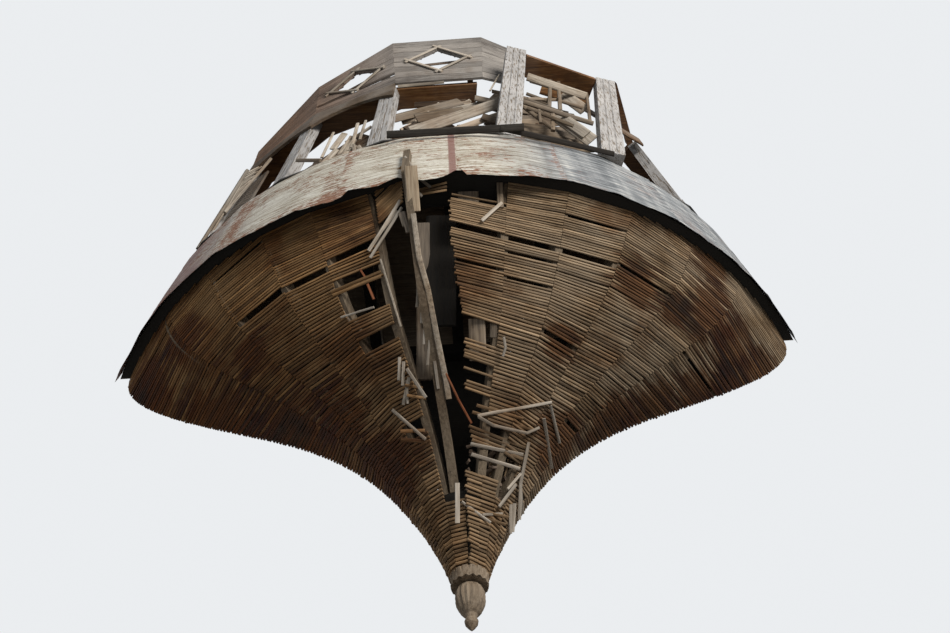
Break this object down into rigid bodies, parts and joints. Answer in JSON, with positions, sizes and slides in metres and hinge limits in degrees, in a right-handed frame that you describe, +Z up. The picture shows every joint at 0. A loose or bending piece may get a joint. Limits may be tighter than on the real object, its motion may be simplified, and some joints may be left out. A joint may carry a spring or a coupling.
{
  "type": "wall-hung timber bay window with an ogee lath hull",
  "caption": "Wall-hung timber bay: a lath-covered ogee hull on curved ribs with a turned pendant, a metal-clad breast, open windows and a flared cove with diamond openings.",
  "frame": {"origin": "on the back face of the wall plate, at the middle of the bay, level with the rim of the hull", "axes": "+Y into the wall that carries the bay, +Z up, +X along the wall to the viewer's right"},
  "size_m": [5.0076, 1.6734, 5.8124],
  "materials": {
    "frame_timber": "matt, weathered",
    "rib_timber": "matt, weathered",
    "lath": "matt, weathered, grey brown",
    "floor_timber": "matt, rough sawn",
    "sheet_metal": "dull grey paint, peeling, rust streaks",
    "sill_timber": "matt, dark",
    "post_timber": "matt, flaking pale paint",
    "head_timber": "matt",
    "valance_timber": "matt, ochre",
    "cove_timber": "matt, weathered grey",
    "finial_timber": "matt, weathered grey"
  },
  "bodies": {
    "root": {"wall_plate": "frame_timber", "wall_rib_left": "frame_timber", "wall_rib_right": "frame_timber", "back_boards": "frame_timber", "rim_beam": "frame_timber", "floor_joists": "frame_timber", "pendant_core": "frame_timber", "cove_brackets": "frame_timber", "ribs_left": "rib_timber", "ribs_right": "rib_timber", "loose_rib": "rib_timber", "lath_panel_left_1": "lath", "lath_panel_left_2": "lath", "lath_panel_left_3": "lath", "lath_panel_left_4": "lath", "lath_panel_left_5": "lath", "lath_panel_right_1": "lath", "lath_panel_right_2": "lath", "lath_panel_right_3": "lath", "lath_panel_right_4": "lath", "lath_panel_right_5": "lath", "floor_deck": "floor_timber", "breast_boards": "floor_timber", "side_panels": "floor_timber", "metal_left_outer": "sheet_metal", "metal_left_inner": "sheet_metal", "metal_right_inner": "sheet_metal", "metal_right_outer": "sheet_metal", "sill_board": "sill_timber", "post_left_1": "post_timber", "post_left_2": "post_timber", "post_left_3": "post_timber", "post_right_1": "post_timber", "post_right_2": "post_timber", "post_right_3": "post_timber", "wall_post_left": "post_timber", "wall_post_right": "post_timber", "head_plate_left": "head_timber", "head_plate_front": "head_timber", "head_plate_right": "head_timber", "arched_valances": "valance_timber", "cove_front": "cove_timber", "cove_left_1": "cove_timber", "cove_left_2": "cove_timber", "cove_right_1": "cove_timber", "pendant_collar": "finial_timber", "finial": "finial_timber"}
  },
  "joints": []
}
